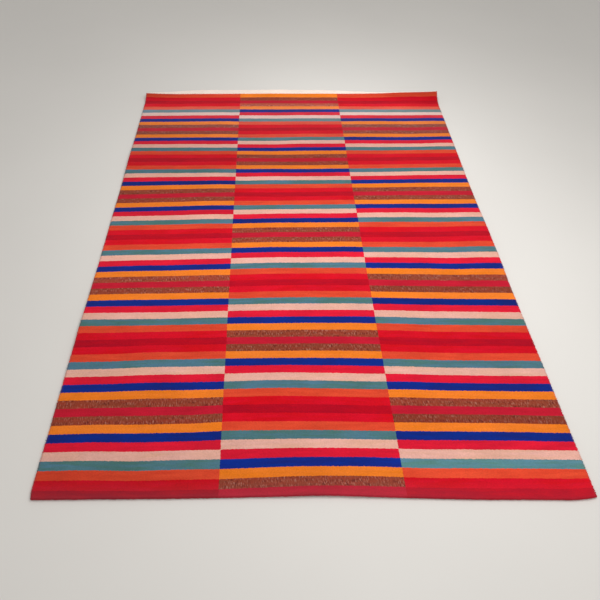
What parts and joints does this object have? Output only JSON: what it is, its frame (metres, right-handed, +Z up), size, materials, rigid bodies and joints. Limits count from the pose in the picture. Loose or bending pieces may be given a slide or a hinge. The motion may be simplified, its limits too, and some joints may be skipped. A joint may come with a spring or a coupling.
{
  "type": "nepalese rug",
  "caption": "Rectangular hand-knotted wool rug with short pile in crosswise stripes and a plain woven web at the far end, which curls up off the floor.",
  "frame": {"origin": "middle of the rug's outline, on the floor that it lies on", "axes": "+Z up out of the pile; +Y along the rug to the end that curls up; +X across it"},
  "size_m": [1.712, 2.4362, 0.049],
  "materials": {
    "pile": "cut wool pile, dyed in stripes, matt with a soft sheen",
    "web": "undyed cream yarn in a plain weave, matt"
  },
  "bodies": {
    "root": {"rug": "pile"}
  },
  "joints": []
}
